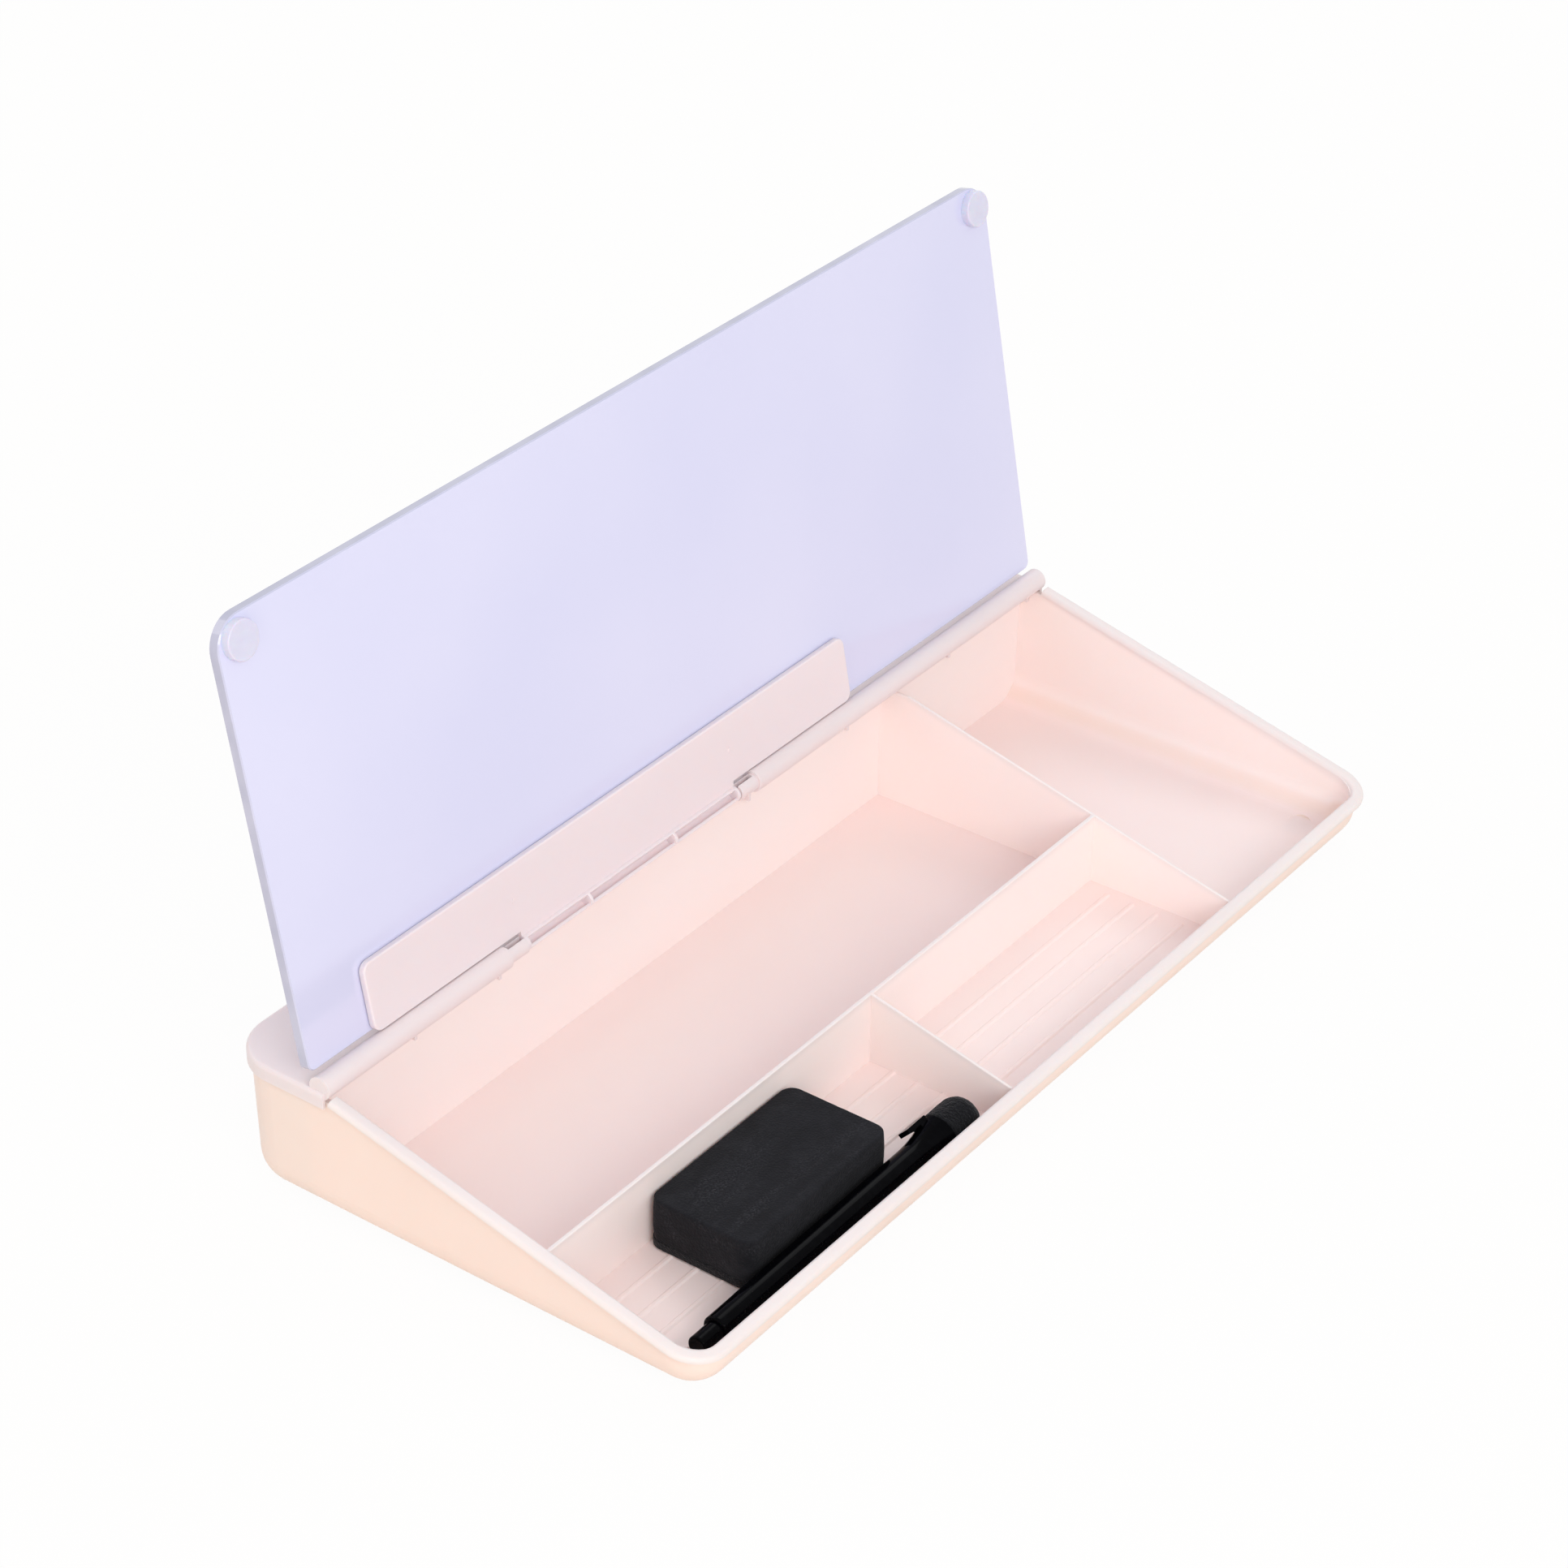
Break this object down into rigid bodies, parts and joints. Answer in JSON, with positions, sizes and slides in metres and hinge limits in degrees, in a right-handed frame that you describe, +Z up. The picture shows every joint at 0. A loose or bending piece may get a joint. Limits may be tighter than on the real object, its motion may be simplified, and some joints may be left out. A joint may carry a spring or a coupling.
{
  "type": "desktop memo board",
  "caption": "Low wedge-shaped desk tray with compartments and a hinged glass writing board as its lid, with a marker and an eraser inside.",
  "frame": {"origin": "centre of the bounding box in plan, on the desk under the feet", "axes": "+X to the right along the width as the user faces the open tray, +Y to the back, +Z up"},
  "size_m": [0.4032, 0.1882, 0.2076],
  "materials": {
    "tray_plastic": "satin moulded, pale pink",
    "cover_plastic": "satin moulded, pale greyish pink",
    "board_glass": "polished, opaque pale coating on the back",
    "hinge_plastic": "satin moulded",
    "bumper_rubber": "clear, soft, domed edge",
    "tape_foam": "matte white adhesive foam",
    "foot_rubber": "matte",
    "marker_plastic": "gloss black",
    "marker_nose_plastic": "satin white",
    "nib_fibre": "matte black fibre",
    "filler_fibre": "ink-soaked fibre",
    "marker_felt": "black felt",
    "eraser_felt": "dark felt",
    "eraser_foam": "matte black closed-cell foam"
  },
  "bodies": {
    "base": {"tray": "tray_plastic", "rear_cover": "cover_plastic", "foot_front_left": "foot_rubber", "foot_front_right": "foot_rubber", "foot_rear_left": "foot_rubber", "foot_rear_right": "foot_rubber"},
    "lid": {"glass_board": "board_glass", "hinge_plate": "hinge_plastic", "hinge_tape": "tape_foam", "bumper_left": "bumper_rubber", "bumper_right": "bumper_rubber"},
    "marker": {"marker_barrel": "marker_plastic", "marker_tail": "marker_plastic", "marker_nose": "marker_nose_plastic", "marker_nib": "nib_fibre", "marker_filler": "filler_fibre"},
    "cap": {"marker_cap": "marker_plastic", "marker_felt": "marker_felt"},
    "eraser": {"eraser_block": "eraser_foam", "eraser_pad": "eraser_felt"}
  },
  "joints": [
    {"name": "lid_hinge", "type": "hinge", "parent": "base", "child": "lid", "pos_m": [0, 0.05435, 0.05435], "axis": [1, 0, 0], "range_deg": [0, 114.1]},
    {"name": "eraser_slide", "type": "slide", "parent": "base", "child": "eraser", "axis": [1, 0, 0], "range_m": [-0.036, 0]},
    {"name": "marker_slide", "type": "slide", "parent": "base", "child": "marker", "axis": [1, -0.0091, 0], "range_m": [-0.005, 0.003]},
    {"name": "cap_pull", "type": "slide", "parent": "marker", "child": "cap", "axis": [0.9996, -0.0091, 0.0257], "range_m": [0, 0.007]}
  ]
}
